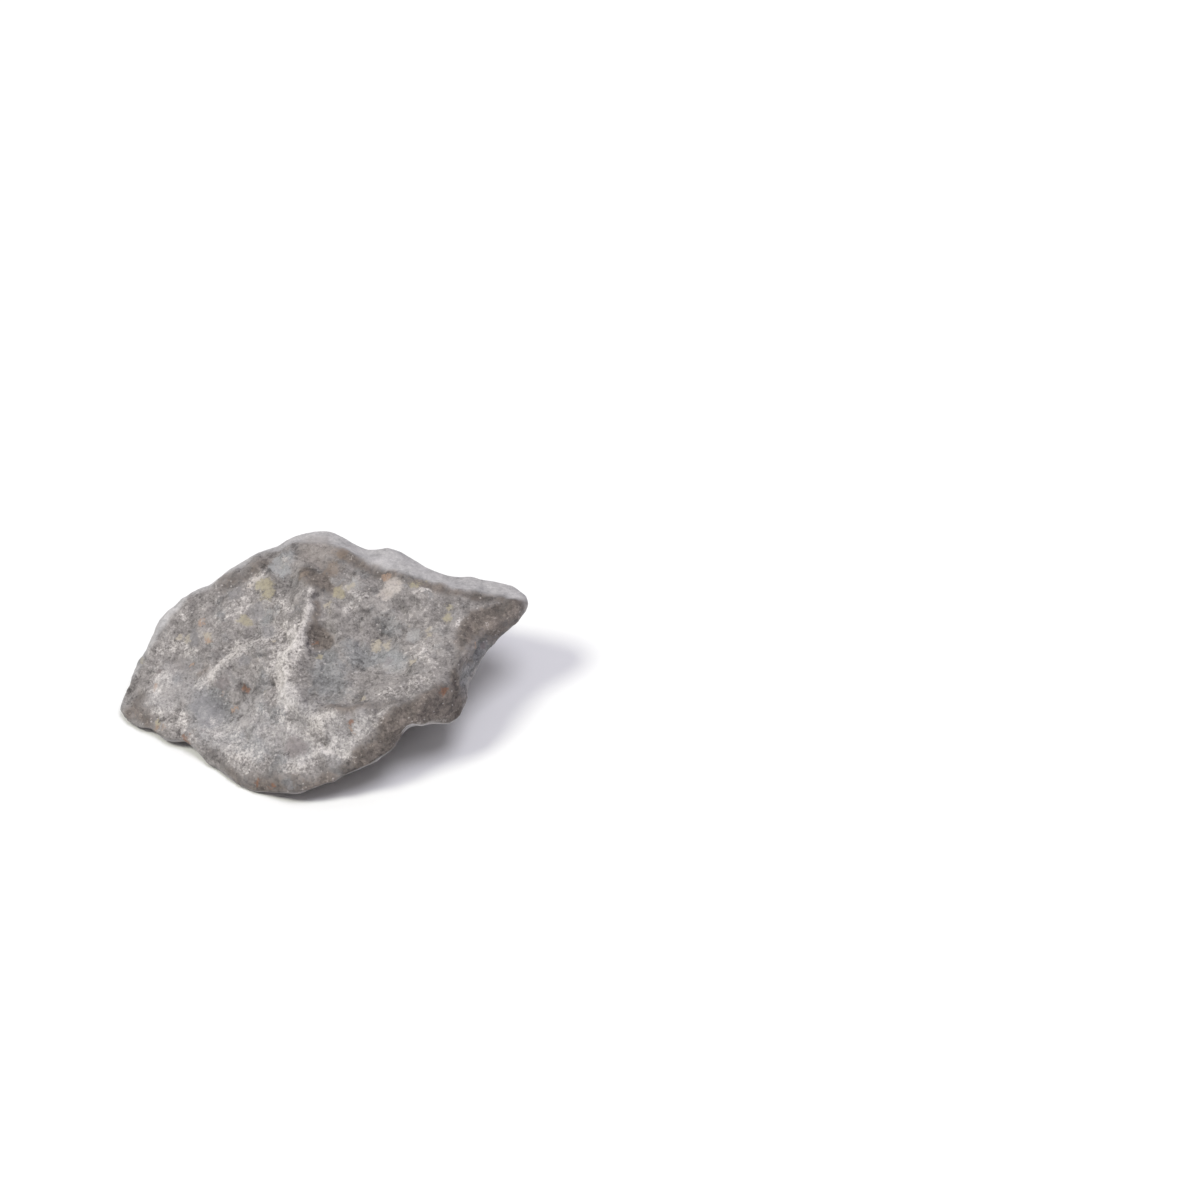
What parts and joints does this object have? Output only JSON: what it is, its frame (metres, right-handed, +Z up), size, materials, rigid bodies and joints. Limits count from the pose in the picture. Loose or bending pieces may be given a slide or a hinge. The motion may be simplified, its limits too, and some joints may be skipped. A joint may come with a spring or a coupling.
{
  "type": "lunar meteorite",
  "caption": "Small flattish fragment of grey lunar breccia with a tilted broken face, sharp overhanging rim and pale and rusty clasts.",
  "frame": {"origin": "middle of the bottom of the bounding box, on the plane the stone rests on", "axes": "+X along the length, towards the overhanging tip; +Y towards the back; +Z up, so the large broken face is tilted towards -Y"},
  "size_m": [0.0104, 0.0074, 0.0033],
  "materials": {
    "stone": "dull fine-grained broken rock with pale dust, bluish-grey and brownish areas and small cream and rust-coloured clasts"
  },
  "bodies": {
    "root": {"stone": "stone"}
  },
  "joints": []
}
